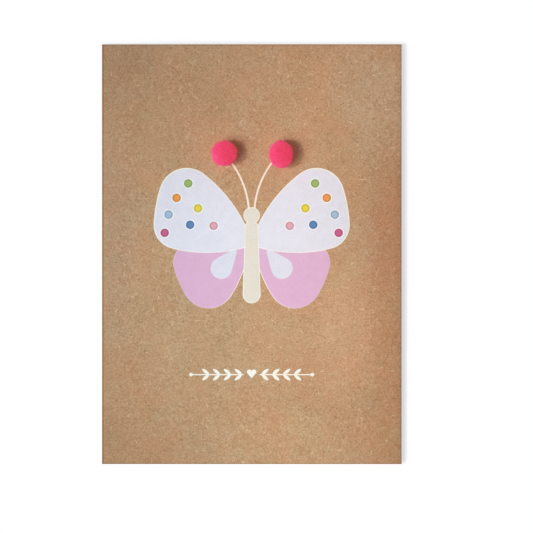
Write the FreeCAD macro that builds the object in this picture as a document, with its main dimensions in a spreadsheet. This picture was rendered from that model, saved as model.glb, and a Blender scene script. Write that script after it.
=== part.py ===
import FreeCAD, Part

import math
import os
import re

import Sketcher

# A greeting card lying closed on its back.  One sheet of kraft board is folded once down its
# left side, and its front panel springs open by a small angle.  The front carries a printed
# butterfly, whose two feelers end in glued-on pompoms, and a printed leaf border below it.
#
# Frame, in millimetres: the origin is under the centre of the card, on the surface that it
# lies on.  +X runs from the fold to the open side, +Y to the top of the card, +Z up.

# ------------------------------------------------------------------ driving dimensions
# Lengths are in millimetres and angles in degrees.  Rises are heights above the card's middle.

SIZES = {
    # the folded board
    "panel_width": 127.0,
    "panel_height": 177.8,
    "board_thickness": 0.4,
    "fold_radius": 0.3,
    "opening_angle": 1.5,
    # the ink: each layer's thickness, and how far the white base shows past the colours
    "ink_thickness": 0.03,
    "white_rim": 0.3,
    # all four wings spring from roots beside the butterfly's body
    "wing_root_rise": 6.0,
    "wing_root_offset": 3.5,
    # forewing: a root and two lobes, each lobe at a reach and an angle from the root
    "forewing_root_radius": 3.0,
    "forewing_side_reach": 28.5,
    "forewing_side_angle": 13.0,
    "forewing_side_radius": 10.0,
    "forewing_tip_reach": 30.5,
    "forewing_tip_angle": 38.0,
    "forewing_tip_radius": 11.5,
    "forewing_bow_radius": 60.0,
    # hindwing, the same way, with its angles measured downwards
    "hindwing_root_radius": 2.5,
    "hindwing_tail_reach": 23.0,
    "hindwing_tail_angle": 50.0,
    "hindwing_tail_radius": 11.0,
    "hindwing_side_reach": 23.5,
    "hindwing_side_angle": 24.0,
    "hindwing_side_radius": 8.0,
    "hindwing_bow_radius": 50.0,
    # pale drop inside the hindwing
    "drop_start_reach": 6.5,
    "drop_start_radius": 1.2,
    "drop_end_reach": 15.0,
    "drop_end_radius": 4.5,
    "drop_angle": 52.0,
    # fan of dots on the forewing
    "dot_diameter": 3.6,
    "outer_dot_reach": 33.5,
    "middle_dot_reach": 23.5,
    "inner_dot_reach": 14.0,
    "dot_fan_angle": 25.5,
    "outer_dot_step": 13.5,
    "middle_dot_step": 19.0,
    # the butterfly's body
    "head_rise": 16.4,
    "head_radius": 3.2,
    "thorax_rise": 11.5,
    "thorax_radius": 2.5,
    "abdomen_length": 28.5,
    "abdomen_radius": 3.5,
    # feelers and pompoms
    "feeler_width": 0.8,
    "feeler_spread": 1.1,
    "pompom_diameter": 11.0,
    "pompom_offset": 12.1,
    "pompom_rise": 42.8,
    "pompom_seat": 5.0,
    "glue_diameter": 4.2,
    "glue_thickness": 0.3,
    # leaf border
    "border_drop": 51.0,
    "border_length": 53.0,
    "stem_width": 0.5,
    "stem_start": 3.6,
    "leaf_spacing": 4.6,
    "leaf_length": 4.0,
    "leaf_bow_radius": 3.2,
    "leaf_angle": 38.0,
    "berry_radius": 0.8,
    "heart_lobe_offset": 0.95,
    "heart_lobe_radius": 1.05,
    "heart_length": 2.3,
}

SIDES = {"left": -1, "right": 1}
POMPOM_RINGS, POMPOM_SIDES = 9, 24

doc = FreeCAD.newDocument("GreetingCard")
sheet = doc.addObject("Spreadsheet::Sheet", "Sizes")
for row, (alias, value) in enumerate(SIZES.items(), start=1):
    sheet.set(f"A{row}", alias)
    sheet.set(f"B{row}", str(value))
    sheet.setAlias(f"B{row}", alias)
doc.recompute()


def linked(formula):
    """The formula with each size's name written as a reference to the sheet."""
    return re.sub(r"[a-z_]+", lambda m: f"Sizes.{m[0]}" if m[0] in SIZES else m[0], formula)


def worth(formula):
    """What a formula comes to now, in millimetres or degrees."""
    value = sheet.evalExpression(linked(formula))
    return float(getattr(value, "Value", value))


# ------------------------------------------------------------------ outlines


class Outline:
    """Circles, listed anticlockwise as (x, y, radius), and what joins them round the outside.

    That is a straight line from each circle to the next, or a bow: an arc of one large radius.
    One circle alone is a disc.  Every entry is a formula in the names of the sizes.
    """

    def __init__(self, *circles, bow=None):
        self.circles = circles
        self.bow = bow

    def grown(self, rim):
        circles = [(x, y, f"({radius}) + {rim}") for x, y, radius in self.circles]
        return Outline(*circles, bow=self.bow and f"({self.bow}) + {rim}")

    def on_side(self, side):
        """The same on the right, or mirrored to the left and still anticlockwise."""
        if side > 0:
            return self
        circles = [(f"-({x})", y, radius) for x, y, radius in reversed(self.circles)]
        return Outline(*circles, bow=self.bow)


def from_root(reach, angle):
    """A place at a reach and an angle from the right-hand wings' root."""
    return (
        f"wing_root_offset + ({reach}) * cos(({angle}) * 1 deg)",
        f"wing_root_rise + ({reach}) * sin(({angle}) * 1 deg)",
    )


FOREWING = Outline(
    (*from_root("0", "0"), "forewing_root_radius"),
    (*from_root("forewing_side_reach", "forewing_side_angle"), "forewing_side_radius"),
    (*from_root("forewing_tip_reach", "forewing_tip_angle"), "forewing_tip_radius"),
    bow="forewing_bow_radius",
)
HINDWING = Outline(
    (*from_root("0", "0"), "hindwing_root_radius"),
    (*from_root("hindwing_tail_reach", "-hindwing_tail_angle"), "hindwing_tail_radius"),
    (*from_root("hindwing_side_reach", "-hindwing_side_angle"), "hindwing_side_radius"),
    bow="hindwing_bow_radius",
)
DROP = Outline(
    (*from_root("drop_start_reach", "-drop_angle"), "drop_start_radius"),
    (*from_root("drop_end_reach", "-drop_angle"), "drop_end_radius"),
)
HEAD = Outline(("0", "head_rise", "head_radius"))
TRUNK = Outline(
    ("0", "thorax_rise", "thorax_radius"),
    ("0", "thorax_rise - abdomen_length", "abdomen_radius"),
)

# each colour's dot on the forewing: its reach, and its angle from the wing's root
DOTS = {
    "magenta": ("outer_dot_reach", "dot_fan_angle - 1.5 * outer_dot_step"),
    "sky": ("outer_dot_reach", "dot_fan_angle - 0.5 * outer_dot_step"),
    "orange": ("outer_dot_reach", "dot_fan_angle + 0.5 * outer_dot_step"),
    "green": ("outer_dot_reach", "dot_fan_angle + 1.5 * outer_dot_step"),
    "blue": ("middle_dot_reach", "dot_fan_angle - 0.5 * middle_dot_step"),
    "yellow": ("middle_dot_reach", "dot_fan_angle + 0.5 * middle_dot_step"),
    "rose": ("inner_dot_reach", "dot_fan_angle"),
}


# ------------------------------------------------------------------ sketching


def new_body(label):
    body = doc.addObject("PartDesign::Body", label)
    body.Label = label
    return body


def new_sketch(body, name, plane="XY_Plane"):
    sketch = body.newObject("Sketcher::SketchObject", name)
    origin_plane = next(o for o in body.Origin.OriginFeatures if o.Role == plane)
    sketch.AttachmentSupport = [(origin_plane, "")]
    sketch.MapMode = "FlatFace"
    return sketch


def point(x, y):
    """A point of a sketch, from two formulas."""
    return FreeCAD.Vector(worth(x), worth(y), 0)


def spoke(heading):
    """The unit vector at a heading in degrees, anticlockwise from the sketch's X axis."""
    return FreeCAD.Vector(math.cos(math.radians(heading)), math.sin(math.radians(heading)), 0)


def tie(sketch, kind, *where):
    sketch.addConstraint(Sketcher.Constraint(kind, *where))


def dimension(sketch, kind, *where, formula):
    """Adds one constraint whose value follows a formula in the names of the sizes."""
    value = worth(formula)
    if kind == "Angle":
        value = math.radians(value)
    number = sketch.addConstraint(Sketcher.Constraint(kind, *where, value))
    sketch.setExpression(f"Constraints[{number}]", linked(formula))


START, END, CENTRE = 1, 2, 3
ORIGIN = (-1, 1)


def pin(sketch, curve, end, x, y):
    """Holds a curve's start, end or centre at a place measured from the sketch's origin."""
    dimension(sketch, "DistanceX", *ORIGIN, curve, end, formula=x)
    dimension(sketch, "DistanceY", *ORIGIN, curve, end, formula=y)


def draw_line(sketch, start, end):
    return sketch.addGeometry(Part.LineSegment(start, end))


def draw_arc(sketch, centre, start, end):
    """Adds the arc that runs anticlockwise about its centre between two points."""
    first, last = start - centre, end - centre
    circle = Part.Circle(centre, FreeCAD.Vector(0, 0, 1), first.Length)
    turns = [math.atan2(side.y, side.x) for side in (first, last)]
    return sketch.addGeometry(Part.ArcOfCircle(circle, *turns))


def joining_ends(near, far, near_radius, far_radius, bow_radius):
    """Where a line or bow leaves one circle and reaches the next, and the bow's centre."""
    along = far - near
    gap = along.Length
    along.normalize()
    away = FreeCAD.Vector(along.y, -along.x, 0)
    if bow_radius is None:
        lean = (near_radius - far_radius) / gap
        normal = along * lean + away * math.sqrt(1 - lean**2)
        return near + normal * near_radius, far + normal * far_radius, None
    near_spoke, far_spoke = bow_radius - near_radius, bow_radius - far_radius
    run = (near_spoke**2 - far_spoke**2 + gap**2) / (2 * gap)
    centre = near + along * run - away * math.sqrt(near_spoke**2 - run**2)
    leave = near + (near - centre) * (near_radius / near_spoke)
    reach = far + (far - centre) * (far_radius / far_spoke)
    return leave, reach, centre


def draw_disc(sketch, x, y, radius):
    circle = Part.Circle(point(x, y), FreeCAD.Vector(0, 0, 1), worth(radius))
    curve = sketch.addGeometry(circle)
    pin(sketch, curve, CENTRE, x, y)
    dimension(sketch, "Radius", curve, formula=radius)


def draw_outline(sketch, outline):
    if len(outline.circles) == 1:
        draw_disc(sketch, *outline.circles[0])
        return
    count = len(outline.circles)
    centres = [point(x, y) for x, y, _ in outline.circles]
    radii = [worth(radius) for _, _, radius in outline.circles]
    bow_radius = worth(outline.bow) if outline.bow else None
    ends = []
    for i in range(count):
        after = (i + 1) % count
        pair = centres[i], centres[after], radii[i], radii[after]
        ends.append(joining_ends(*pair, bow_radius))
    lobes, joins = [], []
    for i, (leave, reach, bow_centre) in enumerate(ends):
        lobes.append(draw_arc(sketch, centres[i], ends[i - 1][1], leave))
        if outline.bow:
            joins.append(draw_arc(sketch, bow_centre, leave, reach))
        else:
            joins.append(draw_line(sketch, leave, reach))
    for i, (x, y, radius) in enumerate(outline.circles):
        pin(sketch, lobes[i], CENTRE, x, y)
        dimension(sketch, "Radius", lobes[i], formula=radius)
        if outline.bow:
            dimension(sketch, "Radius", joins[i], formula=outline.bow)
        tie(sketch, "Tangent", lobes[i], END, joins[i], START)
        tie(sketch, "Tangent", joins[i], END, lobes[(i + 1) % count], START)


def pad(body, sketch, thickness):
    feature = body.newObject("PartDesign::Pad", f"{sketch.Name}_pad")
    feature.Profile = sketch
    feature.setExpression("Length", linked(thickness))
    sketch.Visibility = False
    return feature


def ink(body, name, outline):
    """Adds one printed field of the ink's thickness."""
    sketch = new_sketch(body, name)
    draw_outline(sketch, outline)
    pad(body, sketch, "ink_thickness")


def clear(body, name, outline):
    """Leaves an outline unprinted."""
    sketch = new_sketch(body, name)
    draw_outline(sketch, outline)
    feature = body.newObject("PartDesign::Pocket", f"{name}_pocket")
    feature.Profile = sketch
    feature.Type = "ThroughAll"
    feature.Reversed = True
    sketch.Visibility = False


# ------------------------------------------------------------------ the front panel's place

OUTER_RADIUS = "(fold_radius + board_thickness)"
PANEL_REACH = f"(panel_width - {OUTER_RADIUS})"
MIDDLE_REACH = f"(panel_width / 2 - {OUTER_RADIUS})"
TILT = "(opening_angle * 1 deg)"
FOLD_X = f"({OUTER_RADIUS} - panel_width / 2)"
FOLD_Z = OUTER_RADIUS


def place_on_front(piece, across="0", up="0", lift="0"):
    """Seats a piece on the front panel's outer face, measured from the middle of the panel."""
    along, off = f"({MIDDLE_REACH} + {across})", f"({OUTER_RADIUS} + {lift})"
    turn = FreeCAD.Rotation(FreeCAD.Vector(0, 1, 0), -worth("opening_angle"))
    piece.Placement = FreeCAD.Placement(FreeCAD.Vector(), turn)
    bindings = {
        "Base.x": f"{FOLD_X} + {along} * cos({TILT}) - {off} * sin({TILT})",
        "Base.y": up,
        "Base.z": f"{FOLD_Z} + {along} * sin({TILT}) + {off} * cos({TILT})",
        "Rotation.Angle": f"-{TILT}",
    }
    for path, formula in bindings.items():
        piece.setExpression(f"Placement.{path}", linked(formula))


# ------------------------------------------------------------------ the pieces


def folded_card():
    """The board: its section across the fold, padded to the card's height."""
    body = new_body("folded_card")
    sketch = new_sketch(body, "card_section", "XZ_Plane")
    inner, outer = worth("fold_radius"), worth(OUTER_RADIUS)
    along = spoke(worth(TILT)) * worth(PANEL_REACH)
    normal, down = spoke(90 + worth(TILT)), spoke(-90)
    fold = point(FOLD_X, FOLD_Z)
    back_bottom = point("panel_width / 2", "0")
    back_top = point("panel_width / 2", "board_thickness")
    outside = draw_arc(sketch, fold, fold + normal * outer, fold + down * outer)
    back_outside = draw_line(sketch, fold + down * outer, back_bottom)
    back_edge = draw_line(sketch, back_bottom, back_top)
    back_inside = draw_line(sketch, back_top, fold + down * inner)
    inside = draw_arc(sketch, fold, fold + normal * inner, fold + down * inner)
    front_inside = draw_line(sketch, fold + normal * inner, fold + normal * inner + along)
    front_edge = draw_line(sketch, fold + normal * inner + along, fold + normal * outer + along)
    front_outside = draw_line(sketch, fold + normal * outer + along, fold + normal * outer)

    pin(sketch, outside, CENTRE, FOLD_X, FOLD_Z)
    tie(sketch, "Coincident", outside, CENTRE, inside, CENTRE)
    dimension(sketch, "Radius", outside, formula=OUTER_RADIUS)
    dimension(sketch, "Radius", inside, formula="fold_radius")
    tie(sketch, "Tangent", outside, END, back_outside, START)
    tie(sketch, "Tangent", back_inside, END, inside, END)
    tie(sketch, "Tangent", inside, START, front_inside, START)
    tie(sketch, "Tangent", front_outside, END, outside, START)
    corners = [back_outside, back_edge, back_inside], [front_inside, front_edge, front_outside]
    for before, edge, after in corners:
        tie(sketch, "Coincident", before, END, edge, START)
        tie(sketch, "Coincident", edge, END, after, START)
    tie(sketch, "Horizontal", back_outside)
    tie(sketch, "Horizontal", back_inside)
    tie(sketch, "Vertical", back_edge)
    dimension(sketch, "DistanceX", *ORIGIN, back_edge, START, formula="panel_width / 2")
    dimension(sketch, "Angle", front_inside, formula=TILT)
    dimension(sketch, "Distance", front_inside, formula=PANEL_REACH)
    tie(sketch, "Perpendicular", front_edge, front_inside)
    pad(body, sketch, "panel_height").SideType = "Symmetric"
    return body


def butterfly_base():
    """White ink under the whole butterfly, which shows as a thin rim round its colours."""
    body = new_body("butterfly_base_print")
    for name, side in SIDES.items():
        ink(body, f"{name}_forewing_base", FOREWING.on_side(side).grown("white_rim"))
        ink(body, f"{name}_hindwing_base", HINDWING.on_side(side).grown("white_rim"))
    ink(body, "trunk_base", TRUNK.grown("white_rim"))
    ink(body, "head_base", HEAD.grown("white_rim"))
    place_on_front(body)
    return body


def clear_for_body(body):
    """Keeps a wing's colour off the butterfly's body and the rim round it."""
    clear(body, f"{body.Label}_trunk", TRUNK.grown("white_rim"))
    clear(body, f"{body.Label}_head", HEAD.grown("white_rim"))


def clear_for_forewing(body, side):
    """Keeps a colour off the forewing above it and the rim round that."""
    clear(body, f"{body.Label}_forewing", FOREWING.on_side(side).grown("white_rim"))


def forewing(name, side):
    body = new_body(f"{name}_forewing_print")
    ink(body, f"{name}_forewing", FOREWING.on_side(side))
    clear_for_body(body)
    place_on_front(body, lift="ink_thickness")
    return body


def hindwing(name, side):
    """The hindwing's colour, which leaves room for its drop."""
    body = new_body(f"{name}_hindwing_print")
    ink(body, f"{name}_hindwing", HINDWING.on_side(side))
    clear(body, f"{name}_hindwing_drop", DROP.on_side(side))
    clear_for_forewing(body, side)
    clear_for_body(body)
    place_on_front(body, lift="ink_thickness")
    return body


def drop(name, side):
    body = new_body(f"{name}_drop_print")
    ink(body, f"{name}_drop", DROP.on_side(side))
    clear_for_forewing(body, side)
    place_on_front(body, lift="ink_thickness")
    return body


def butterfly_body():
    body = new_body("butterfly_body_print")
    ink(body, "trunk", TRUNK)
    ink(body, "head", HEAD)
    place_on_front(body, lift="ink_thickness")
    return body


def dots(colour, place):
    """One colour's two dots, one on each forewing."""
    body = new_body(f"{colour}_dots_print")
    dot = Outline((*from_root(*place), "dot_diameter / 2"))
    for name, side in SIDES.items():
        ink(body, f"{name}_{colour}_dot", dot.on_side(side))
    place_on_front(body, lift="2 * ink_thickness")
    return body


# A feeler is a strip along an arc, upright beside the head's centre and aimed at its pompom.
# It starts at the printed head's edge and stops just short of the pompom's glue.
FEELER_RUN = "(pompom_offset - feeler_spread)"
FEELER_CLIMB = "(pompom_rise - head_rise)"
FEELER_RADIUS = f"(({FEELER_RUN} ^ 2 + {FEELER_CLIMB} ^ 2) / (2 * {FEELER_RUN}))"
FEELER_TURN = (
    f"(2 * atan({FEELER_RUN} / {FEELER_CLIMB})"
    f" - 2 * asin((glue_diameter / 2 + feeler_width) / (2 * {FEELER_RADIUS})))"
)


def feeler(name, side):
    body = new_body(f"{name}_feeler_print")
    sketch = new_sketch(body, f"{name}_feeler")
    x = f"{side} * (feeler_spread + {FEELER_RADIUS})"
    radii = [f"{FEELER_RADIUS} - feeler_width / 2", f"{FEELER_RADIUS} + feeler_width / 2"]
    # arcs run anticlockwise, so the right-hand feeler is drawn from its pompom to its foot
    heading = f"180 deg - {FEELER_TURN}" if side > 0 else FEELER_TURN
    tip, foot = (START, END) if side > 0 else (END, START)
    spokes = {tip: spoke(worth(heading)), foot: FreeCAD.Vector(-side, 0, 0)}
    centre = point(x, "head_rise")
    edges, caps = [], {}
    for radius in radii:
        ends = [centre + spokes[end] * worth(radius) for end in (START, END)]
        edges.append(draw_arc(sketch, centre, *ends))
    for end, direction in spokes.items():
        ends = [centre + direction * worth(radius) for radius in radii]
        caps[end] = draw_line(sketch, *ends)
    pin(sketch, edges[0], CENTRE, x, "head_rise")
    tie(sketch, "Coincident", edges[0], CENTRE, edges[1], CENTRE)
    for edge, radius in zip(edges, radii):
        dimension(sketch, "Radius", edge, formula=radius)
    for end, cap in caps.items():
        tie(sketch, "Coincident", cap, START, edges[0], end)
        tie(sketch, "Coincident", cap, END, edges[1], end)
        tie(sketch, "PointOnObject", edges[0], CENTRE, cap)
    dimension(sketch, "Angle", caps[tip], formula=heading)
    pad(body, sketch, "ink_thickness")
    clear(body, f"{name}_feeler_head", HEAD.grown("white_rim"))
    place_on_front(body)
    return body


def faceted_ball(radius, seat):
    """A ball of flat facets about its centre, cut flat at a depth below it."""
    lowest = -math.degrees(math.asin(seat / radius))
    step = (90 - lowest) / (POMPOM_RINGS + 0.5)
    rings = []
    for ring in range(POMPOM_RINGS + 1):
        out, up = (value * radius for value in spoke(lowest + ring * step)[:2])
        corners = [spoke(360 * side / POMPOM_SIDES) * out for side in range(POMPOM_SIDES + 1)]
        rings.append([FreeCAD.Vector(corner.x, corner.y, up) for corner in corners])
    outlines = [rings[0], rings[-1]]
    for below, above in zip(rings, rings[1:]):
        for i in range(POMPOM_SIDES):
            outlines.append([below[i], below[i + 1], above[i + 1], above[i], below[i]])
    facets = [Part.Face(Part.makePolygon(outline)) for outline in outlines]
    return Part.makeSolid(Part.makeShell(facets))


def pompom(name, side):
    """The pompom's bulk: its pile stands a little way in and out of this surface."""
    ball = doc.addObject("Part::Feature", f"{name}_pompom")
    ball.Label = f"{name}_pompom"
    ball.Shape = faceted_ball(worth("pompom_diameter / 2"), worth("pompom_seat"))
    lift = "glue_thickness + pompom_seat"
    place_on_front(ball, across=f"{side} * pompom_offset", up="pompom_rise", lift=lift)
    return ball


def glue_dot(name, side):
    dot = doc.addObject("Part::Cylinder", f"{name}_glue_dot")
    dot.Label = f"{name}_glue_dot"
    dot.setExpression("Radius", linked("glue_diameter / 2"))
    dot.setExpression("Height", linked("glue_thickness"))
    place_on_front(dot, across=f"{side} * pompom_offset", up="pompom_rise")
    return dot


def ink_leaf(body, name, side, foot_x, lean):
    """Prints a leaf of two bows that grows from the stem, up for a lean of 1, down for -1."""
    sketch = new_sketch(body, name)
    foot = (f"{side} * {foot_x}", "-border_drop")
    tip = (
        f"{side} * ({foot_x} + leaf_length * cos(leaf_angle * 1 deg))",
        f"-border_drop + {lean} * leaf_length * sin(leaf_angle * 1 deg)",
    )
    start, end = point(*foot), point(*tip)
    chord = end - start
    shift = FreeCAD.Vector(-chord.y, chord.x, 0).normalize()
    shift *= math.sqrt(worth("leaf_bow_radius") ** 2 - (chord.Length / 2) ** 2)
    under = draw_arc(sketch, start + chord / 2 + shift, start, end)
    over = draw_arc(sketch, start + chord / 2 - shift, end, start)
    pin(sketch, under, START, *foot)
    pin(sketch, under, END, *tip)
    tie(sketch, "Coincident", under, END, over, START)
    tie(sketch, "Coincident", over, END, under, START)
    for bow in (under, over):
        dimension(sketch, "Radius", bow, formula="leaf_bow_radius")
    pad(body, sketch, "ink_thickness")


def leaf_border():
    """A heart between two sprigs of paired leaves, each ending in a berry, in white ink."""
    body = new_body("leaf_border_print")
    berry_centre = "(border_length / 2 - berry_radius)"
    stem = Outline(
        ("stem_start", "-border_drop", "stem_width / 2"),
        (berry_centre, "-border_drop", "stem_width / 2"),
    )
    berry = Outline((berry_centre, "-border_drop", "berry_radius"))
    lobe = Outline(
        ("0", "-border_drop - heart_length / 2", "stem_width / 2"),
        ("heart_lobe_offset", "-border_drop + heart_length / 2", "heart_lobe_radius"),
    )
    leafy = worth(f"{berry_centre} - berry_radius - leaf_length - stem_start")
    pairs = 1 + int(leafy / worth("leaf_spacing"))
    for name, side in SIDES.items():
        ink(body, f"{name}_stem", stem.on_side(side))
        ink(body, f"{name}_berry", berry.on_side(side))
        ink(body, f"{name}_heart_lobe", lobe.on_side(side))
        for pair in range(pairs):
            foot = f"(stem_start + stem_width + {pair} * leaf_spacing)"
            for way, lean in (("upper", 1), ("lower", -1)):
                ink_leaf(body, f"{name}_{way}_leaf_{pair + 1}", side, foot, lean)
    place_on_front(body)
    return body


def build():
    pieces = [folded_card(), butterfly_base(), butterfly_body(), leaf_border()]
    for name, side in SIDES.items():
        for make in (forewing, hindwing, drop, feeler, glue_dot, pompom):
            pieces.append(make(name, side))
    for colour, place in DOTS.items():
        pieces.append(dots(colour, place))
    return pieces


def check(pieces):
    """Stops with a plain message if any object failed or any piece isn't sound."""
    for thing in doc.Objects:
        if "Invalid" in thing.State or "Error" in thing.State:
            raise RuntimeError(f"{thing.Name} failed: {thing.State}")
    for piece in pieces:
        shape = piece.Shape
        if shape.isNull() or not shape.isValid() or not shape.Solids:
            raise RuntimeError(f"{piece.Label} is not a valid solid")


pieces = build()
doc.recompute()
check(pieces)
os.makedirs("parts", exist_ok=True)
for piece in pieces:
    piece.Shape.exportStep(f"parts/{piece.Label}.step")
    print(f"{piece.Label}: {len(piece.Shape.Solids)} solids, {piece.Shape.Volume:.3f} mm3")
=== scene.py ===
# %% [markdown]
# # A kraft greeting card with two pompoms
#
# The card is one sheet of brown kraft board, folded once down its left side and lying on its
# back.  Its front carries a printed butterfly whose feelers end in two glued-on pompoms, and a
# printed border of leaves below.  This lesson builds what is seen of it, piece by piece: the
# folded board, the films of ink, the dabs of glue and the pile of the pompoms.  The finishes
# come after the shapes, and the studio comes last.
#
# The sizes come from a model of plain solids that is loaded first and never moved.  Each piece
# made here stands in for one of its solids, which is then hidden.

# %% Load the solids and measure them
import math

import bmesh
import bpy
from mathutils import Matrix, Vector


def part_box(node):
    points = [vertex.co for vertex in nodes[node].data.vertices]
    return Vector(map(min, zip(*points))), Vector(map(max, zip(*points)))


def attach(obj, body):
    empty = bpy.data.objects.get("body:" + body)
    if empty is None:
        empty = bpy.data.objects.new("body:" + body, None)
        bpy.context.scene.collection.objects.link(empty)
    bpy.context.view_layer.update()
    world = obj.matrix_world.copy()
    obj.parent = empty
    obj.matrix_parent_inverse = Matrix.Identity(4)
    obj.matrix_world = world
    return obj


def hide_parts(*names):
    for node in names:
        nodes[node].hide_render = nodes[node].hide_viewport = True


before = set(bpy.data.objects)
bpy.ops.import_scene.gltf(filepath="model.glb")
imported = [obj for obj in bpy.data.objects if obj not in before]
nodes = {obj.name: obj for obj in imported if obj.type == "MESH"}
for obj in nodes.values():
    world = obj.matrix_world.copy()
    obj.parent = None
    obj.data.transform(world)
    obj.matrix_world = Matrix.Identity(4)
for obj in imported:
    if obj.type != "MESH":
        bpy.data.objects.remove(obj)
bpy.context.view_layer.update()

MM = 0.001
card_low, card_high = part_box("folded_card")
print("solids:", len(nodes), "card in mm:", [round(side / MM, 2) for side in card_high - card_low])

# %% [markdown]
# ## Working as by hand
#
# Every piece starts as a primitive or as a copy of a solid, and is then shaped in edit mode.
# An operator acts on whatever is selected, and loading leaves the solids selected, so each
# step begins by clearing the selection.  A few short helpers cover that.  They open a piece in
# edit mode with nothing selected, select by place, cut along a plane, and add a modifier and
# apply it.


# %% Open a piece, and select on it by place
def take(piece):
    """Makes a piece the only one selected."""
    bpy.ops.object.select_all(action="DESELECT")
    bpy.context.view_layer.objects.active = piece
    piece.select_set(True)


def open_up(piece):
    take(piece)
    bpy.ops.object.mode_set(mode="EDIT")
    bpy.ops.mesh.select_all(action="DESELECT")


def close_up():
    bpy.ops.object.mode_set(mode="OBJECT")


def pick(kind, test):
    """Selects the points, edges or faces of the open piece whose middle passes a test."""
    bpy.ops.mesh.select_mode(type=kind)
    bpy.ops.mesh.select_all(action="DESELECT")
    mesh = bmesh.from_edit_mesh(bpy.context.object.data)
    count = 0
    for part in {"VERT": mesh.verts, "EDGE": mesh.edges, "FACE": mesh.faces}[kind]:
        corners = [part] if kind == "VERT" else list(part.verts)
        if test(sum((corner.co for corner in corners), Vector()) / len(corners)):
            part.select_set(True)
            count += 1
    mesh.select_flush_mode()
    bmesh.update_edit_mesh(bpy.context.object.data)
    return count


# %% Cut a piece across, and finish it with a modifier
TINY = 0.001 * MM


def cut(place, normal, **clearing):
    """Cuts all of the open piece along a plane, and keeps both sides unless told otherwise."""
    bpy.ops.mesh.select_all(action="SELECT")
    bpy.ops.mesh.bisect(plane_co=place, plane_no=normal, threshold=TINY, **clearing)


def finish_with(piece, kind, **settings):
    """Adds one modifier with its settings, and applies it."""
    take(piece)
    modifier = piece.modifiers.new(kind.title(), kind)
    for name, value in settings.items():
        setattr(modifier, name, value)
    bpy.ops.object.modifier_apply(modifier=modifier.name)


# %% [markdown]
# ## The spring of the board
#
# No sheet of board is quite flat.  A folded card springs up from its fold in a low arch, and
# its free corners droop by different amounts.  The board, the ink on it and the pompoms must
# all follow the same curve, or the ink would sink into the board.  A lattice does that: it is
# a cage of control points, and whatever it is applied to bends with the cage.
#
# This cage fills only the gap between the two panels, beside the fold.  What lies below it
# stays still with its bottom layer, and what lies above it moves with its top layer, so no
# thickness changes.

# %% Build the cage that bends every piece alike
BOARD = 0.4 * MM
FOLD_RADIUS = 0.5 * MM  # to the middle of the board
ARCH = [  # rises of the front panel in millimetres, fold to free edge, lower side first
    [0.0, 0.40, 0.35, -0.35, -1.55],
    [0.0, 0.50, 0.55, -0.10, -1.30],
    [0.0, 0.55, 0.65, 0.00, -1.15],
    [0.0, 0.45, 0.50, -0.10, -1.25],
    [0.0, 0.30, 0.25, -0.35, -1.45],
]

gap = 2 * FOLD_RADIUS - BOARD
bpy.ops.object.add(type="LATTICE", location=(0, 0, BOARD + gap / 2))
cage = bpy.context.object
cage.name = "spring_cage"
cage.scale = (*(card_high - card_low).xy, gap)
cage.data.points_u, cage.data.points_v, cage.data.points_w = len(ARCH[0]), len(ARCH), 2
cage.data.interpolation_type_u = cage.data.interpolation_type_v = "KEY_CATMULL_ROM"
cage.data.interpolation_type_w = "KEY_LINEAR"
top_layer = [rise for row in ARCH for rise in row]
for control, rise in zip(cage.data.points[len(top_layer) :], top_layer):
    control.co_deform.z += rise * MM / gap
bpy.context.view_layer.update()
print("cage points:", len(cage.data.points))


def spring(piece):
    """Bends a finished piece with the board."""
    finish_with(piece, "LATTICE", object=cage)


# %% [markdown]
# ## The folded board
#
# The sheet could be a thin box with a slot, but then its fold would be square.  Real board
# goes round its fold in a tight curve, and a scored line runs beside it where the board was
# creased to bend.  So the middle of the sheet is drawn first, without thickness: the back
# panel is a plane, its left edge is spun round the fold, and the last edge is extruded along
# the front panel, which stays open by a degree and a half.

# %% Draw the middle of the sheet
OPENING = math.radians(1.5)
FOLD_STEPS = 12

fold = Vector((card_low.x + FOLD_RADIUS + BOARD / 2, 0, FOLD_RADIUS + BOARD / 2))
back_width = card_high.x - fold.x
along_front = Vector((math.cos(OPENING), 0, math.sin(OPENING)))
off_front = Vector((-math.sin(OPENING), 0, math.cos(OPENING)))

bpy.ops.object.select_all(action="DESELECT")
back_middle = (fold.x + back_width / 2, 0, BOARD / 2)
bpy.ops.mesh.primitive_plane_add(size=1, location=back_middle)
board = bpy.context.object
board.name = "kraft_card"
board.scale = (back_width, card_high.y - card_low.y, 1)
bpy.ops.object.transform_apply()

open_up(board)
pick("EDGE", lambda middle: abs(middle.x - fold.x) < TINY)
bpy.ops.mesh.spin(steps=FOLD_STEPS, angle=-(math.pi - OPENING), center=fold, axis=(0, 1, 0))
front_start = fold + off_front * FOLD_RADIUS
pick("EDGE", lambda middle: (middle - front_start).length < TINY)
bpy.ops.mesh.extrude_region_move(
    TRANSFORM_OT_translate={"value": along_front * back_width}
)
bpy.ops.mesh.select_all(action="SELECT")
bpy.ops.mesh.remove_doubles(threshold=TINY)
bpy.ops.mesh.normals_make_consistent(inside=False)
close_up()
print("sheet faces:", len(board.data.polygons))

# %% [markdown]
# A flat panel has no points inside it for the cage to bend, so the sheet is cut into a grid.
# Three closer cuts beside the fold carry the scored line, whose middle is pressed down.

# %% Cut the sheet into a grid and press the scored line
GRID = 6 * MM
EDGE_STRIP = 1 * MM  # the grid keeps this far off the cut edges
SCORE_REACH, SCORE_HALF_WIDTH, SCORE_DEPTH = 0.35 * MM, 0.25 * MM, 0.05 * MM


def grid_lines(low, high):
    """Multiples of the grid's spacing that lie between two coordinates."""
    return [n * GRID for n in range(math.ceil(low / GRID), math.ceil(high / GRID))]


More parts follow.
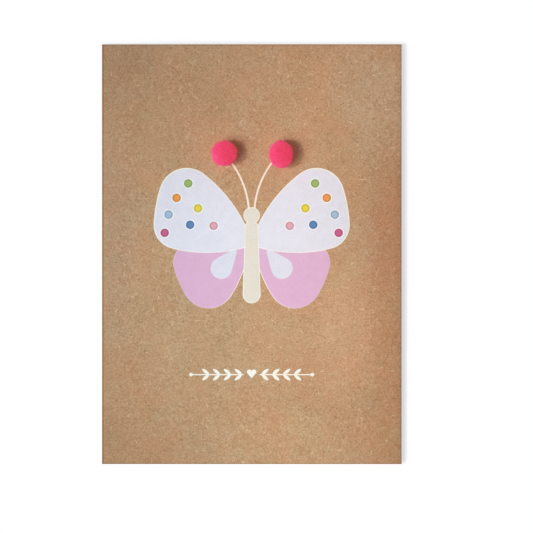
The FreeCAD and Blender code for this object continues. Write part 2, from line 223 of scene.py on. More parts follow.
score_x = fold.x + SCORE_REACH
open_up(board)
for y in grid_lines(card_low.y + EDGE_STRIP, card_high.y - EDGE_STRIP):
    cut((0, y, 0), (0, 1, 0))
for x in grid_lines(score_x + 2 * EDGE_STRIP, card_high.x - EDGE_STRIP):
    cut((x, 0, 0), (1, 0, 0))
for x in (score_x - SCORE_HALF_WIDTH, score_x, score_x + SCORE_HALF_WIDTH):
    cut((x, 0, 0), (1, 0, 0))
pressed = pick("VERT", lambda place: abs(place.x - score_x) < TINY and place.z > fold.z)
bpy.ops.transform.translate(value=(0, 0, -SCORE_DEPTH))
close_up()
print("points pressed along the score:", pressed)

# %% Thicken the sheet, soften its cut edges and let it spring
SHARP = math.radians(50)  # faces that turn by more than this meet in a sharp edge
EDGE_ROUNDING = 0.07 * MM

finish_with(board, "SOLIDIFY", thickness=BOARD, offset=0)
finish_with(
    board, "BEVEL", width=EDGE_ROUNDING, segments=2, limit_method="ANGLE", angle_limit=SHARP
)
spring(board)
take(board)
bpy.ops.object.shade_smooth_by_angle(angle=math.radians(35))
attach(board, "root")
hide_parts("folded_card")
print("board faces:", len(board.data.polygons))

# %% [markdown]
# ## The films of ink
#
# Screen ink lies on the board as a film a few hundredths of a millimetre thick.  Its outlines
# are right in the solids already, so each film starts as a copy of its solid.  The copy is
# loose triangles with their shading stored in them, so the stored shading is cleared and the
# doubles are merged.  It is cut on the board's own grid, so that the cage bends it exactly as
# it bends the board.  The cuts are marked as seams, which keeps them while all the other edges
# inside the flat faces are dissolved.
#
# A press never sets its colours quite true.  The lavender comes out a little lean, so that the
# forewings keep a clear white rim, and the pink a little fat, which leaves the hindwings hardly
# any.  One resize about each wing's inner corner does that.

# %% List the inks
INK_SLOTS = {
    "butterfly_base_print": "white_ink",
    "leaf_border_print": "white_ink",
    "butterfly_body_print": "cream_ink",
}
for side in ("left", "right"):
    INK_SLOTS[f"{side}_feeler_print"] = "cream_ink"
    INK_SLOTS[f"{side}_forewing_print"] = "lavender_ink"
    INK_SLOTS[f"{side}_hindwing_print"] = "pink_ink"
    INK_SLOTS[f"{side}_drop_print"] = "pale_ink"
DOT_COLOURS = ("magenta", "sky", "orange", "green", "blue", "yellow", "rose")
for colour in DOT_COLOURS:
    INK_SLOTS[f"{colour}_dots_print"] = f"{colour}_ink"
print("inks listed:", sorted(set(INK_SLOTS.values())))

# %% Copy a solid as a film of ink
PRINTED_SIZE = {"forewing": 0.994, "hindwing": 1.008}


def print_off_true(node, low, high):
    """Shrinks or swells a wing's colour about the wing's inner corner."""
    for wing, share in PRINTED_SIZE.items():
        if wing in node:
            corner = (
                high.x if "left" in node else low.x,
                low.y if wing == "forewing" else high.y,
                low.z,
            )
            bpy.ops.transform.resize(value=(share, share, 1), center_override=corner)


def film_of(node):
    """A copy of a printed solid, cleaned, cut on the grid and sprung with the board."""
    film = bpy.data.objects.new(node.replace("_print", "_film"), nodes[node].data.copy())
    bpy.context.collection.objects.link(film)
    film.data.materials.clear()
    low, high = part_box(node)
    take(film)
    bpy.ops.mesh.customdata_custom_splitnormals_clear()
    open_up(film)
    bpy.ops.mesh.select_all(action="SELECT")
    bpy.ops.mesh.remove_doubles(threshold=TINY)
    print_off_true(node, low, high)
    for x in grid_lines(low.x, high.x):
        cut((x, 0, 0), (1, 0, 0))
        bpy.ops.mesh.mark_seam()
    for y in grid_lines(low.y, high.y):
        cut((0, y, 0), (0, 1, 0))
        bpy.ops.mesh.mark_seam()
    bpy.ops.mesh.select_all(action="SELECT")
    bpy.ops.mesh.dissolve_limited(angle_limit=math.radians(0.1), delimit={"SEAM"})
    bpy.ops.mesh.mark_seam(clear=True)
    close_up()
    spring(film)
    take(film)
    bpy.ops.object.shade_flat()
    return film


# %% Print every film
films = {}
for node, slot in INK_SLOTS.items():
    films[node] = film_of(node)
    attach(films[node], "root")
    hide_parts(node)
print("films:", len(films), "faces:", sum(len(film.data.polygons) for film in films.values()))

# %% [markdown]
# ## The dabs of glue
#
# A pompom is pressed into a dab of clear glue, which squeezes out to a low rounded puddle.  A
# short cylinder is the start.  It is stretched a little, each dab in its own way, because no
# two squeeze out alike, and its rims are bevelled round.

# %% Press out a dab of glue under each pompom
GLUE_HEIGHT, GLUE_ROUNDING = 0.3 * MM, 0.12 * MM


def seat_of(node):
    """The middle of a glue dot's foot on the front panel."""
    low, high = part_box(node)
    return (low + high) / 2 - off_front * GLUE_HEIGHT / 2


def glue_dab(side, stretch):
    node = f"{side}_glue_dot"
    low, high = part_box(node)
    bpy.ops.object.select_all(action="DESELECT")
    bpy.ops.mesh.primitive_cylinder_add(
        vertices=40,
        radius=(high.y - low.y) / 2,
        depth=GLUE_HEIGHT,
        location=seat_of(node) + off_front * GLUE_HEIGHT / 2,
        rotation=(0, -OPENING, 0),
    )
    dab = bpy.context.object
    dab.name = f"{side}_glue_dab"
    dab.scale = (*stretch, 1)
    bpy.ops.object.transform_apply()
    finish_with(dab, "BEVEL", width=GLUE_ROUNDING, segments=3, angle_limit=SHARP)
    spring(dab)
    take(dab)
    bpy.ops.object.shade_smooth_by_angle(angle=math.radians(60))
    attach(dab, "root")
    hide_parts(node)
    return dab


dabs = [glue_dab("left", stretch=(1.06, 0.95)), glue_dab("right", stretch=(0.96, 1.05))]
print("glue faces:", [len(dab.data.polygons) for dab in dabs])

# %% [markdown]
# ## Writing nodes as sums
#
# The pile and the finishes are made with nodes, and a tree of nodes is mostly arithmetic on a
# few patterns.  Written link by link it would be long and hard to read.  So one class wraps a
# node's output, and adding or multiplying it adds the Math nodes.  Every other node comes from
# one method, which takes its type, its settings, and the values or links of its sockets.


# %% Wrap a node's output so that sums make Math nodes
class Wire:
    """An output of a node in a recipe, which takes part in sums as a number does."""

    def __init__(self, recipe, node, output=0):
        self.recipe, self.node = recipe, node
        shown = [socket for socket in node.outputs if socket.enabled]
        self.socket = shown[output] if isinstance(output, int) else node.outputs[output]

    def out(self, name):
        return Wire(self.recipe, self.node, name)

    def maths(self, operation, *others):
        values = dict(enumerate((self, *others)))
        return self.recipe.node("ShaderNodeMath", {"operation": operation}, values)

    def __add__(self, other):
        return self.maths("ADD", other)

    __radd__ = __add__

    def __mul__(self, other):
        return self.maths("MULTIPLY", other)

    __rmul__ = __mul__

    def __sub__(self, other):
        return self.maths("SUBTRACT", other)

    def __rsub__(self, other):
        return self * -1 + other

    def __truediv__(self, other):
        return self.maths("DIVIDE", other)

    def between(self, low, high):
        """Rises smoothly from 0 at one value to 1 at another."""
        return self.recipe.node(
            "ShaderNodeMapRange",
            {"interpolation_type": "SMOOTHSTEP"},
            {"Value": self, "From Min": low, "From Max": high},
        )


# %% Add nodes to a tree
class Recipe:
    """The nodes of one tree, added one by one."""

    def __init__(self, tree):
        self.tree = tree
        self.tree.nodes.clear()

    def node(self, kind, settings=None, values=None):
        """Adds a node with its settings, and then gives its sockets their values or links."""
        made = self.tree.nodes.new(kind)
        for name, setting in (settings or {}).items():
            setattr(made, name, setting)
        for name, value in (values or {}).items():
            shown = [socket for socket in made.inputs if socket.enabled]
            if isinstance(name, int):
                socket = shown[name]
            else:
                socket = next(socket for socket in shown if socket.name == name)
            if isinstance(value, Wire):
                self.tree.links.new(value.socket, socket)
            else:
                socket.default_value = value
        return Wire(self, made) if made.outputs else None

    def vector(self, operation, *values):
        return self.node("ShaderNodeVectorMath", {"operation": operation}, dict(enumerate(values)))

    def random(self, kind, low, high, seed):
        """A random value of its own for each point."""
        values = {"Min": low, "Max": high, "Seed": seed}
        return self.node("FunctionNodeRandomValue", {"data_type": kind}, values)


# %% [markdown]
# ## The pompoms
#
# A craft pompom is a ball of cut yarn.  Its outside is the ends of many thousand short fibres,
# which lean together in clumps, so its outline is soft and slightly knobbly.  A bumpy ball
# alone would look like clay.  So there is a lumpy core, a little smaller than the pompom, and
# one fibre is modelled once and planted all over it.  Geometry nodes do the planting: they
# scatter points, lean each fibre towards the middle of its clump, and give it a length that
# is partly its clump's and partly its own.

# %% Model one fibre of the pile
FIBRE_LENGTH = 1.0 * MM
FIBRE_FOOT, FIBRE_TIP = 0.055 * MM, 0.03 * MM


def model_fibre():
    """A tapering three-sided fibre that stands on the origin, open at its foot."""
    bpy.ops.object.select_all(action="DESELECT")
    bpy.ops.mesh.primitive_cone_add(
        vertices=3,
        radius1=FIBRE_FOOT,
        radius2=FIBRE_TIP,
        depth=FIBRE_LENGTH,
        location=(0, 0, FIBRE_LENGTH / 2),
    )
    fibre = bpy.context.object
    fibre.name = "fibre"
    bpy.ops.object.transform_apply()
    open_up(fibre)
    pick("FACE", lambda middle: middle.z < TINY)
    bpy.ops.mesh.delete(type="FACE")
    close_up()
    take(fibre)
    bpy.ops.object.shade_smooth()
    return fibre


fibre = model_fibre()
print("fibre faces:", len(fibre.data.polygons))

# %% Plant the fibres with geometry nodes
CLUMP = 1.1 * MM
LEAN = 0.8 / MM  # how far a fibre leans in, for each metre from its clump's middle
STRAY = 0.35  # how far it leans any other way
CLUMP_PART = 0.3  # a fibre's length is up to this much from its clump
OWN_PART = (0.65, 0.93)  # and this much its own
FIBRES_PER_SQUARE_MM = 78


def planting(seed):
    """A node group that plants the fibre all over a mesh, leaning in clumps."""
    group = bpy.data.node_groups.new(f"planting_{seed}", "GeometryNodeTree")
    for way in ("INPUT", "OUTPUT"):
        group.interface.new_socket("Geometry", in_out=way, socket_type="NodeSocketGeometry")
    recipe = Recipe(group)
    core = recipe.node("NodeGroupInput")
    density = FIBRES_PER_SQUARE_MM / MM**2
    points = recipe.node(
        "GeometryNodeDistributePointsOnFaces",
        values={"Mesh": core, "Density": density, "Seed": seed},
    )
    place = recipe.node("GeometryNodeInputPosition")
    clumps = recipe.node("ShaderNodeTexVoronoi", values={"Vector": place, "Scale": 1 / CLUMP})
    towards = recipe.vector("SUBTRACT", clumps.out("Position"), place)
    drawn_in = recipe.vector("MULTIPLY", towards, (LEAN,) * 3)
    stray = recipe.random("FLOAT_VECTOR", (-STRAY,) * 3, (STRAY,) * 3, seed + 1)
    aim = recipe.vector("ADD", recipe.vector("ADD", points.out("Normal"), drawn_in), stray)
    spun = recipe.random("FLOAT_VECTOR", (0, 0, 0), (0, 0, math.tau), seed + 2)
    of_clump = recipe.node("ShaderNodeSeparateXYZ", values={"Vector": clumps.out("Color")})
    length = of_clump * CLUMP_PART + recipe.random("FLOAT", *OWN_PART, seed + 3)
    turned = recipe.node(
        "FunctionNodeAlignRotationToVector", {"axis": "Z"}, {"Rotation": spun, "Vector": aim}
    )
    model = recipe.node("GeometryNodeObjectInfo", values={"Object": fibre}).out("Geometry")
    planted = recipe.node(
        "GeometryNodeInstanceOnPoints",
        values={"Points": points, "Instance": model, "Rotation": turned, "Scale": length},
    )
    both = recipe.node("GeometryNodeJoinGeometry", values={0: core})
    real = recipe.node("GeometryNodeRealizeInstances", values={"Geometry": planted})
    group.links.new(real.socket, both.node.inputs[0])
    recipe.node("NodeGroupOutput", values={0: both})
    return group


# %% Shape each pompom's core and give it its pile
SEAT_DEPTH = 5.0 * MM  # from the pompom's middle down to its seat on the glue
OFF_CARD = 5.3 * MM  # its radius off the card
LUMP_HEIGHT = 1.0 * MM
lumps = bpy.data.textures.new("lumps", "CLOUDS")
lumps.noise_scale = 1.9 * MM


def pompom(side, across, up, nudge, seed):
    """A pompom of two radii, across and up the card, pressed on by hand a nudge off its dab."""
    node = f"{side}_pompom"
    middle = seat_of(f"{side}_glue_dot") + off_front * (GLUE_HEIGHT + SEAT_DEPTH)
    middle += Vector((*nudge, 0)) * MM
    bpy.ops.object.select_all(action="DESELECT")
    bpy.ops.mesh.primitive_ico_sphere_add(subdivisions=5, radius=1, location=middle)
    ball = bpy.context.object
    ball.name = f"{side}_pompom_pile"
    ball.scale = [radius - FIBRE_LENGTH for radius in (across, up, OFF_CARD)]
    bpy.ops.object.transform_apply()
    finish_with(ball, "DISPLACE", texture=lumps, texture_coords="LOCAL", strength=LUMP_HEIGHT)
    finish_with(ball, "NODES", node_group=planting(seed))
    open_up(ball)
    cut(middle - off_front * SEAT_DEPTH, off_front, clear_inner=True, use_fill=True)
    close_up()
    spring(ball)
    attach(ball, "root")
    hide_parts(node)
    return ball


pompoms = [
    pompom("left", across=5.45 * MM, up=5.5 * MM, nudge=(0.55, -0.15), seed=11),
    pompom("right", across=5.1 * MM, up=5.95 * MM, nudge=(0.45, -0.5), seed=47),
]
bpy.data.objects.remove(fibre)
bpy.data.objects.remove(cage)
print("pompom triangles:", [sum(len(p.vertices) - 2 for p in b.data.polygons) for b in pompoms])

# %% [markdown]
# ## Finishes
#
# A finish is a recipe that ends in a surface.  It works in millimetres from the place on the
# object, so that a pattern has its true size, and it adds soft noise, mixed colours and
# relief.


# %% Hold one material's nodes
class Finish(Recipe):
    """The recipe of one material."""

    def __init__(self, name):
        self.material = bpy.data.materials.new(name)
        self.material.use_nodes = True
        super().__init__(self.material.node_tree)

    def place(self):
        """The place on the object, in millimetres."""
        metres = self.node("ShaderNodeTexCoord").out("Object")
        return self.vector("MULTIPLY", metres, (1 / MM,) * 3)

    def split(self, vector):
        """The three parts of a vector."""
        parts = self.node("ShaderNodeSeparateXYZ", values={"Vector": vector})
        return parts, parts.out("Y"), parts.out("Z")

    def noise(self, place, size, detail=3.0, roughness=0.5):
        """A soft pattern about 0, from -0.5 to 0.5, whose patches are about one size across."""
        values = {"Vector": place, "Scale": 1 / size, "Detail": detail, "Roughness": roughness}
        return self.node("ShaderNodeTexNoise", values=values) - 0.5

    def mix(self, factor, first, second):
        """Mixes two colours."""
        return self.mix_by("MIX", factor, first, second)

    def mix_by(self, blend, factor, first, second):
        """Mixes two colours by another rule, such as MULTIPLY."""
        values = {"Factor": factor, "A": first, "B": second}
        return self.node("ShaderNodeMix", {"data_type": "RGBA", "blend_type": blend}, values)

    def relief(self, height, depth):
        """Turns a height pattern into a bumped normal, for a depth in millimetres."""
        return self.node("ShaderNodeBump", values={"Height": height, "Distance": depth * MM})

    def surface(self, **sockets):
        """Ends the recipe in a Principled shader, whose constants sit on its own sockets."""
        values = {name.replace("_", " "): value for name, value in sockets.items()}
        shader = self.node("ShaderNodeBsdfPrincipled", values=values)
        self.node("ShaderNodeOutputMaterial", values={"Surface": shader})
        return self.material


def srgb(red, green, blue):
    """A colour as it is picked on a screen, turned into the linear values that light adds in."""
    linear = []
    for value in (red, green, blue):
        value /= 255
        linear.append(value / 12.92 if value <= 0.04045 else ((value + 0.055) / 1.055) ** 2.4)
    return (*linear, 1)


# %% [markdown]
# ## Kraft board
#
# Kraft is unbleached pulp: soft clouds of tone, a fine tight grain, pale and dark slivers of
# fibre lying every way, and here and there one long dark thread.  Noise gives the clouds and
# the grain.  Slivers are another matter, because noise has no separate marks.  A Voronoi
# pattern has one point and three random numbers for each of its cells, and those numbers turn,
# size and choose one curved sliver per cell.
#
# A card that has been kept and handled is darker at its cut edges and scuffed pale beside the
# fold.  Painted shade darkens the curve of the fold and a strip up the lower right side, where
# the light falls off.  A few broad patches of painted light and shade brighten, dim, warm or
# cool the brown.  Noise would put those anywhere, so they are placed one by one, each as a soft
# oval that tints the colour a little.


# %% Scatter slivers of fibre
def slivers(recipe, place, ragged, spacing, length, width, bend, share, shift):
    """1 on curved fibres, one in a share of the cells and ragged at its edge, and 0 elsewhere."""
    moved = recipe.vector("ADD", place, (shift, shift, 0))
    cells = recipe.node(
        "ShaderNodeTexVoronoi",
        {"voronoi_dimensions": "2D"},
        {"Vector": moved, "Scale": 1 / spacing},
    )
    chance = recipe.node("ShaderNodeSeparateColor", values={"Color": cells.out("Color")})
    away = recipe.vector("SUBTRACT", moved, cells.out("Position"))
    split = recipe.node("ShaderNodeSeparateXYZ", values={"Vector": away})
    x, y = split.out("X"), split.out("Y")
    turn = chance.out("Red") * math.tau
    cosine, sine = turn.maths("COSINE"), turn.maths("SINE")
    along = x * cosine + y * sine
    across = y * cosine - x * sine + along * along * bend
    long_way, short_way = along * (2 / length), across * (2 / width)
    far = (long_way * long_way + short_way * short_way).maths("SQRT") * (1 + ragged)
    size = chance.out("Green") * 0.8 + 0.5
    chosen = chance.out("Blue").maths("LESS_THAN", share)
    return (1 - far / size).between(0, 0.6) * chosen


# %% List the board's patterns
PANEL = (card_high - card_low) / 2 / MM  # half of the board's width and height
SLIVERS = {  # spacing, length and width in mm, bend, the share of cells with one, and a shift
    "pale": (1.5, 1.5, 0.26, 0.25, 0.75, 0),
    "dark": (2.9, 1.0, 0.3, 0.3, 0.6, 37),
    "fleck": (5, 2.2, 0.42, 0.12, 0.5, 63),
    "speck": (4.5, 0.9, 0.55, 0, 0.5, 19),
    "thread": (16, 6.5, 0.22, 0.06, 0.35, 91),
}


def kraft_pattern(recipe, place):
    """The board's patterns, which its colour and its relief share."""
    seen = {
        "cloud": recipe.noise(place, 14, detail=2),
        "mottle": recipe.noise(place, 2.6, detail=2),
        "grain": recipe.noise(place, 0.75, detail=3, roughness=0.6),
    }
    ragged = recipe.noise(place, 0.5, detail=2) * 1.6
    for name, sizes in SLIVERS.items():
        seen[name] = slivers(recipe, place, ragged, *sizes)
    return seen


BACK_SHIFT = 211  # mm, more than the card is long


def board_place(recipe):
    """The place on the board, shifted aside on the back panel so that no mark shows twice."""
    place = recipe.place()
    aside = recipe.split(place)[2].maths("LESS_THAN", fold.z / MM) * BACK_SHIFT
    shift = recipe.node("ShaderNodeCombineXYZ", values={"X": aside})
    return recipe.vector("ADD", place, shift)


# %% Wear its edges, and paint shade on its fold
def board_wear_and_shade(recipe):
    """Where the board is worn at its cut edges and scuffed beside the fold, and where painted
    shade darkens it round the fold and up its lower right side.
    """
    place = recipe.place()
    x, y = recipe.split(place)[:2]
    waver = recipe.noise(place, 1.3, detail=2) * 0.16
    spread = recipe.noise(place, 12, detail=2) * 8
    broken = recipe.noise(place, 0.9, detail=2).between(-0.08, 0.1)
    to_side = PANEL.x - x
    to_edge = to_side.maths("MINIMUM", PANEL.y - y.maths("ABSOLUTE")) + waver
    to_fold = x + PANEL.x + waver
    return {
        # painted shade: a strip up the lower right side, where the light falls off
        "painted_falloff": (1 - (to_side + spread).between(4, 18)) * (1 - (y + spread).between(30, 60)),
        "edge": 1 - to_edge.between(0.2, 0.65),
        # painted shade on the curve of the fold
        "turn": 1 - to_fold.between(0.85, 1.05),
        "scuff": to_fold.between(0.9, 1.0) * (1 - to_fold.between(1.15, 1.4)) * broken,
    }


# %% Paint broad patches of light and shade on it
# painted light and shade: each oval brightens, dims, warms or cools the board's colour
PAINTED_LIGHT_PATCHES = (  # middle and reach in mm, and what red, green and blue are multiplied by
    ((52, 66), (28, 34), (1.02, 1.08, 1.15, 1)),
    ((60, 10), (20, 36), (0.97, 0.92, 0.94, 1)),
    ((40, -34), (18, 40), (1.09, 1.09, 1.09, 1)),
    ((10, -84), (34, 26), (1.04, 1.08, 1.07, 1)),
    ((-60, -88), (44, 30), (0.96, 0.92, 0.89, 1)),
    ((-63, 10), (24, 62), (0.97, 1.0, 1.07, 1)),
    ((-63, 88), (36, 36), (0.90, 0.92, 0.94, 1)),
)


def painted_light_patches(recipe, colour):
    """The board's colour, tinted by painted light and shade in each of the broad patches."""
    place = recipe.place()
    x, y = recipe.split(place)[:2]
    spread = recipe.noise(place, 12, detail=2) * 0.4
    for (across, up), (wide, tall), cast in PAINTED_LIGHT_PATCHES:
        side, rise = (x - across) / wide, (y - up) / tall
        far = (side * side + rise * rise).maths("SQRT") + spread
        colour = recipe.mix_by("MULTIPLY", 1 - far.between(0.3, 1), colour, cast)
    return colour


# %% Make the kraft
FIBRE_SHADES = {  # how strongly each sliver shows, and its colour
    "pale": (0.35, srgb(226, 192, 152)),
    "dark": (0.5, srgb(129, 93, 62)),
    "fleck": (0.6, srgb(236, 207, 172)),
    "speck": (0.55, srgb(112, 80, 50)),
    "thread": (0.6, srgb(110, 78, 52)),
}
# edge and scuff are wear; turn is painted shade on the fold's curve
WEAR_AND_SHADE_COLOURS = {
    "edge": (0.45, srgb(134, 96, 62)),
    "turn": (0.45, srgb(148, 102, 64)),
    "scuff": (0.3, srgb(214, 198, 176)),
}


def kraft():
    recipe = Finish("kraft")
    place = board_place(recipe)
    seen = kraft_pattern(recipe, place)
    wear_and_shade = board_wear_and_shade(recipe)

    tone = 0.5 + seen["cloud"] * 0.5 + seen["mottle"] * 0.62 + seen["grain"] * 2.5
    colour = recipe.mix(tone, srgb(171, 127, 87), srgb(213, 179, 147))
    warmth = recipe.noise(place, 7, detail=1) * 0.8 + 0.3
    colour = recipe.mix(warmth, colour, srgb(195, 151, 113))
    tint = 0.5 + recipe.noise(place, 3.8, detail=1) * 1.4 + recipe.noise(place, 19, detail=1) * 2.4
    cast = recipe.mix(tint, (0.965, 1.02, 1.03, 1), (1.035, 0.98, 0.97, 1))
    colour = recipe.mix_by("MULTIPLY", 1, colour, cast)
    for name, (strength, shade) in FIBRE_SHADES.items():
        colour = recipe.mix(seen[name] * strength, colour, shade)
    # painted light and shade, in broad patches
    colour = painted_light_patches(recipe, colour)
    # painted shade: darker and browner up the lower right side, where the light falls off
    colour = recipe.mix_by("MULTIPLY", wear_and_shade["painted_falloff"], colour, (0.98, 0.91, 0.86, 1))
    for name, (strength, shade) in WEAR_AND_SHADE_COLOURS.items():
        colour = recipe.mix(wear_and_shade[name] * strength, colour, shade)

    fibres = seen["pale"] * 0.25 + seen["fleck"] * 0.3 - seen["dark"] * 0.15
    return recipe.surface(
        Base_Color=colour,
        Roughness=0.86 + seen["grain"] * 0.1,
        Normal=recipe.relief(seen["grain"] + fibres + wear_and_shade["scuff"] * 0.5, 0.03),
        Specular_IOR_Level=0.25,
    )


board.data.materials.append(kraft())
print("kraft nodes:", len(board.data.materials[0].node_tree.nodes))

# %% [markdown]
# ## Ink
#
# The ink is opaque and dull.  The board's grain still shows under it as a faint relief and as
# slight unevenness of tone, and a few pinholes let the brown through.  The dots are printed
# last: each presses its ink out to a darker rim, and the lavender keeps clear of it by a
# little, which leaves a white ring.

# %% Find the dots
def dot_middle(colour):
    """The middle of a colour's right dot; the left one has the same x with its sign changed."""
    low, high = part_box(f"{colour}_dots_print")
    radius = (high.y - low.y) / 2
    return (high.x - radius) / MM, (low.y + radius) / MM


dot_low, dot_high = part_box(f"{DOT_COLOURS[0]}_dots_print")
DOT_RADIUS = (dot_high.y - dot_low.y) / 2 / MM  # all the dots are one size
DARK_RIM = (DOT_RADIUS - 0.9, DOT_RADIUS - 0.2)  # where a dot darkens, from its middle out
WHITE_RING = (DOT_RADIUS + 0.15, DOT_RADIUS + 0.6)  # where the white round it fades away
dot_middles = {colour: dot_middle(colour) for colour in DOT_COLOURS}
print("dots:", {name: [round(c, 1) for c in middle] for name, middle in dot_middles.items()})


# %% Mix one ink
def from_dot(recipe, colour):
    """How far a place is from the middle of the nearer of a colour's two dots."""
    x, y = recipe.split(recipe.place())[:2]
    across, up = dot_middles[colour]
    side, rise = x.maths("ABSOLUTE") - across, y - up
    return (side * side + rise * rise).maths("SQRT")


def darker(colour, share):
    """A colour with only a share of its light."""
    return (*(value * share for value in colour[:3]), 1)


def ink(name, colour):
    recipe = Finish(f"{name}_ink")
    place = board_place(recipe)
    seen = kraft_pattern(recipe, place)
    tone = 0.35 + seen["grain"] * 1.8 + recipe.noise(place, 4) * 1.1
    body = recipe.mix(tone, colour, darker(colour, 0.9))
    if name in DOT_COLOURS:
        rim = from_dot(recipe, name).between(*DARK_RIM)
        body = recipe.mix(rim * 0.85, body, darker(colour, 0.62))
    if name == "lavender":
        nearest = from_dot(recipe, DOT_COLOURS[0])
        for dot in DOT_COLOURS[1:]:
            nearest = nearest.maths("MINIMUM", from_dot(recipe, dot))
        ring = 1 - nearest.between(*WHITE_RING)
        body = recipe.mix(ring, body, srgb(252, 251, 250))
    holes = recipe.noise(place, 0.35, detail=1).between(0.2, 0.3)
    body = recipe.mix(holes * 0.25, body, srgb(196, 160, 126))
    height = seen["grain"] + seen["pale"] * 0.25 - seen["dark"] * 0.15
    return recipe.surface(
        Base_Color=body,
        Roughness=0.7 + seen["grain"] * 0.15,
        Normal=recipe.relief(height, 0.018),
        Specular_IOR_Level=0.3,
    )


# %% Ink every film
INKS = {
    "white": srgb(253, 248, 239),
    "cream": srgb(235, 226, 215),
    "peach": srgb(255, 236, 220),
    "lavender": srgb(234, 232, 245),
    "pink": srgb(228, 182, 215),
    "pale": srgb(229, 227, 242),
    "magenta": srgb(210, 94, 146),
    "sky": srgb(171, 195, 225),
    "orange": srgb(244, 159, 80),
    "green": srgb(160, 188, 104),
    "blue": srgb(94, 135, 193),
    "yellow": srgb(236, 217, 70),
    "rose": srgb(234, 171, 187),
}
inks = {name: ink(name, colour) for name, colour in INKS.items()}
for node, slot in INK_SLOTS.items():
    name = "peach" if "feeler" in node else slot.removesuffix("_ink")
    films[node].data.materials.append(inks[name])
print("inks:", len(inks))

# %% [markdown]
# ## Pile and glue
#
# The yarn is a neon pink, brighter than any paint, pink where light falls on it and redder in
# its own shade.  A red emission paints that glow in: the pile glows red at one fixed strength
# whatever light falls on it, which also flattens its shading.  Its colour is painted deeper
# towards the roots of the pile and paler at its tips, as painted shade down among the fibres.

# %% Colour the pile, with a painted glow and painted shade towards its roots
# painted glow: the strength of the pile's fixed red emission
PAINTED_GLOW = 0.5
ROOTS, TIPS = 4.2, 5.6  # mm from the pompom's middle


def pile(name, middle):
    recipe = Finish(name)
    place = recipe.place()
    centre = recipe.node("ShaderNodeCombineXYZ", values=dict(zip("XYZ", middle / MM)))
    reach = recipe.vector("DISTANCE", place, centre)
    # painted shade: darker towards the roots, down among the fibres
    tip = reach.between(ROOTS, TIPS)
    colour = recipe.mix(tip, srgb(178, 66, 137), srgb(192, 96, 162))
    colour = recipe.mix(recipe.noise(place, 1.4, detail=2) * 2 + 0.2, colour, srgb(160, 66, 133))
    return recipe.surface(
        Base_Color=colour,
        Roughness=0.8 + recipe.noise(place, 0.5) * 0.2,
        Specular_IOR_Level=0.2,
        Sheen_Weight=0.08,
        Sheen_Roughness=0.5,
        Sheen_Tint=srgb(255, 120, 150),
        # painted glow, lamp or no lamp
        Emission_Color=srgb(255, 74, 80),
        Emission_Strength=PAINTED_GLOW,
    )


for ball in pompoms:
    corners = [Vector(corner) for corner in ball.bound_box]
    ball.data.materials.clear()
    ball.data.materials.append(pile(ball.name, sum(corners, Vector()) / 8))
print("pile:", [ball.data.materials[0].name for ball in pompoms])

# %% Set the glue
def glue():
    recipe = Finish("squeezed_glue")
    cloud = recipe.noise(recipe.place(), 0.8)
    return recipe.surface(
        Base_Color=recipe.mix(cloud + 0.5, srgb(236, 232, 220), srgb(216, 204, 184)),
        Roughness=0.25 + cloud * 0.3,
        Transmission_Weight=0.5,
    )


dab_finish = glue()
for dab in dabs:
    dab.data.materials.append(dab_finish)
print("glue:", dab_finish.name)

# %% [markdown]
# ## The studio
#
# The card lies on a plain table.  A pale sky lights it from all round, and one lamp at the
# left gives the pompoms their shadows.  Two more lamps beside that one make soft pools of
# light, a cool one and a warm one to its right, so the brown grows dimmer and changes its cast
# a little towards the corners.  The table is painted a pale grey, and a glow that only the
# camera and reflections see lifts it to just above white.  The lamps are a little warm, so the
# glow is a little cool.  It is no brighter than it has to be, so that even the faint shadow at
# the card's foot, where half the sky is hidden, stays on the table.
#
# The table lies a hair below the card, because two faces in one plane flicker.  It is opaque
# only from above.  From underneath it is clear, and it lets through the short rays that start
# on the card's back, so that the back can be looked at and has light on it.


# %% Lay the table
TABLE_GAP = 0.05 * MM
SHORT_RAY = 20 * TABLE_GAP  # only rays from under the card reach the table within this


def seen_straight(recipe):
    """1 for rays from the camera, from reflections and through clear things."""
    rays = recipe.node("ShaderNodeLightPath")
    flags = rays.out("Is Camera Ray") + rays.out("Is Glossy Ray")
    return (flags + rays.out("Is Transmission Ray")).maths("MINIMUM", 1)


def table_finish(grey, glow, tint):
    """Grey paint from above with a tinted glow over it, and clear from underneath."""
    recipe = Finish("white_table")
    paint = recipe.node("ShaderNodeBsdfDiffuse", values={"Color": (grey, grey, grey, 1)})
    light = recipe.node("ShaderNodeEmission", values={"Color": tint, "Strength": glow})
    shown = recipe.node("ShaderNodeMixShader", values={0: seen_straight(recipe), 2: light})
    top = recipe.node("ShaderNodeAddShader", values={0: paint, 1: shown})
    under = recipe.node("ShaderNodeNewGeometry").out("Backfacing")
    short = recipe.node("ShaderNodeLightPath").out("Ray Length").maths("LESS_THAN", SHORT_RAY)
    clear = recipe.node("ShaderNodeBsdfTransparent")
    through = under.maths("MAXIMUM", short)
    both = recipe.node("ShaderNodeMixShader", values={0: through, 1: top, 2: clear})
    recipe.node("ShaderNodeOutputMaterial", values={"Surface": both})
    return recipe.material


TABLE_WIDTH = 6

bpy.ops.object.select_all(action="DESELECT")
bpy.ops.mesh.primitive_plane_add(size=TABLE_WIDTH, location=(0, 0, -TABLE_GAP))
table = bpy.context.object
bpy.ops.object.transform_apply()
table.name = "table"
table.data.materials.append(table_finish(grey=0.6, glow=0.6, tint=(0.965, 0.98, 1, 1)))
print("table:", tuple(table.dimensions))

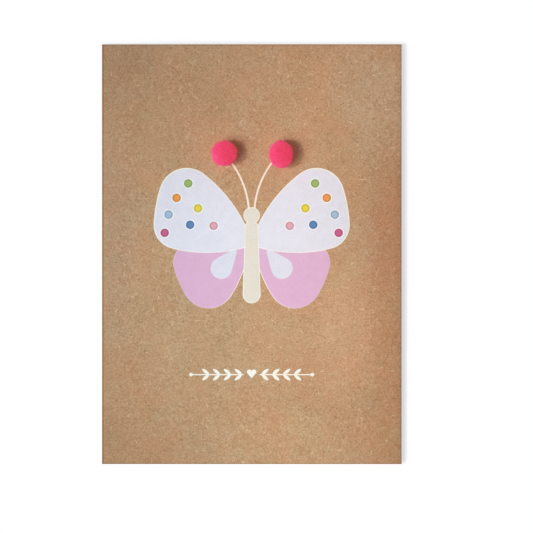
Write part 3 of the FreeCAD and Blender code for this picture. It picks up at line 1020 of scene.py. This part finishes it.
# %% Light the card
SKY = 0.318
world = bpy.data.worlds.new("studio")
bpy.context.scene.world = world
world.use_nodes = True
sky = Recipe(world.node_tree)
fill = sky.node("ShaderNodeBackground", values={"Strength": SKY})
backdrop = sky.node("ShaderNodeBackground", values={"Color": (1, 1, 1, 1), "Strength": 1})
shown = sky.node("ShaderNodeMixShader", values={0: seen_straight(sky), 1: fill, 2: backdrop})
sky.node("ShaderNodeOutputWorld", values={"Surface": shown})


def aim(lamp, target):
    """Turns a lamp to look at a place."""
    way = Vector(target) - lamp.location
    lamp.rotation_euler = way.to_track_quat("-Z", "Y").to_euler()


LAMP_WAY = Vector((-0.58, -0.20, 0.86))  # from the card to the key lamp
SOFTNESS = math.radians(36)

bpy.ops.object.light_add(type="SUN", location=LAMP_WAY)
key = bpy.context.object
key.data.energy = 1.74
key.data.color = (1, 0.98, 0.95)
key.data.angle = SOFTNESS
aim(key, (0, 0, 0))

POOL_DISTANCE, POOL_LAMP_RADIUS = 1.2, 0.035


def pool(place, reach, energy, colour):
    """A lamp on the key's side whose light fades out at a reach across and up from a place."""
    way = Vector((LAMP_WAY.x, 0, LAMP_WAY.z)).normalized()
    across, up = reach
    bpy.ops.object.light_add(type="SPOT", location=Vector(place) + way * POOL_DISTANCE)
    lamp = bpy.context.object
    lamp.data.energy = energy
    lamp.data.color = colour
    lamp.data.shadow_soft_size = POOL_LAMP_RADIUS
    lamp.data.spot_size = 2 * math.atan(up / POOL_DISTANCE)
    lamp.data.spot_blend = 1
    aim(lamp, place)
    lamp.scale = (1, across * way.z / up, 1)  # once aimed, its own Y axis lies across the card
    return lamp


cool = pool((-0.018, -0.024, 0), reach=(0.075, 0.115), energy=17, colour=(0.68, 0.97, 1))
warm = pool((0.033, -0.018, 0), reach=(0.040, 0.240), energy=18, colour=(1, 0.80, 0.66))
print("lamps:", key.name, cool.name, warm.name)

# %% Look straight down at it
VIEW_MIDDLE = (6.25 * MM, -5.2 * MM)
CAMERA_HEIGHT, FRONT_HEIGHT = 4.0, 3 * MM
FIELD = 0.2258  # the width of the view at the card's front

bpy.ops.object.camera_add(location=(*VIEW_MIDDLE, CAMERA_HEIGHT), rotation=(0, 0, 0))
camera = bpy.context.object
camera.data.lens = camera.data.sensor_width * (CAMERA_HEIGHT - FRONT_HEIGHT) / FIELD
bpy.context.scene.camera = camera
bpy.context.scene.view_settings.view_transform = "Standard"
print("lens:", round(camera.data.lens))
